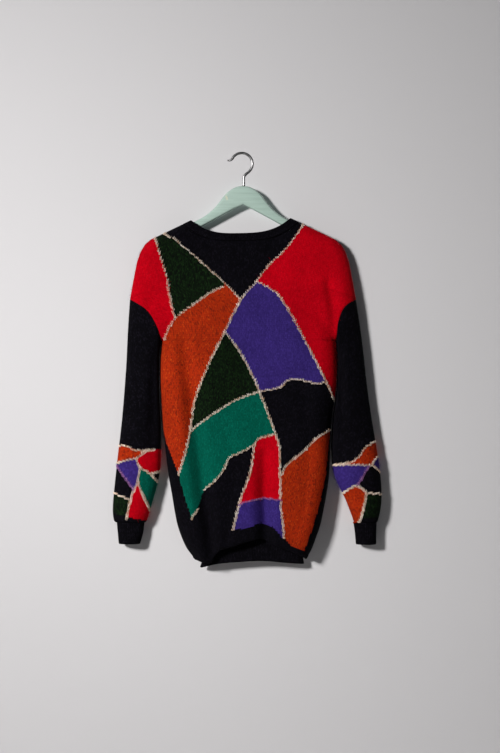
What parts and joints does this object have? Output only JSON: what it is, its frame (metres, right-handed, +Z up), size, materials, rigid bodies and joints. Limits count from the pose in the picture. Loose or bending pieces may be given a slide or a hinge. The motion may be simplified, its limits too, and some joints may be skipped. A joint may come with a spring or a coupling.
{
  "type": "patchwork knitted sweater on a wooden clothes hanger",
  "caption": "Drop-shoulder knitted sweater with a patchwork front, hanging open and hollow on a flat wooden hanger with a wire hook.",
  "frame": {"origin": "seat of the hook: the top of the inside of its bend, where the nail or rail carries it", "axes": "+X to the right of someone facing the front of the sweater, -Y out of its front, +Z up"},
  "size_m": [0.5374, 0.0611, 0.8307],
  "materials": {
    "patchwork_wool": "brushed wool and mohair knit in red, orange, green, violet, teal and black, with cream lines",
    "black_wool": "matt stocking-stitch wool",
    "black_rib": "matt ribbed wool",
    "painted_wood": "satin pale mint paint",
    "chrome_wire": "polished"
  },
  "bodies": {
    "root": {"front_panel": "patchwork_wool", "back_panel": "black_wool", "sleeve_left": "black_wool", "sleeve_right": "black_wool", "cuff_left": "black_rib", "cuff_right": "black_rib", "hem_rib": "black_rib", "neckband": "black_rib", "hanger_board": "painted_wood", "hanger_hook": "chrome_wire"}
  },
  "joints": []
}
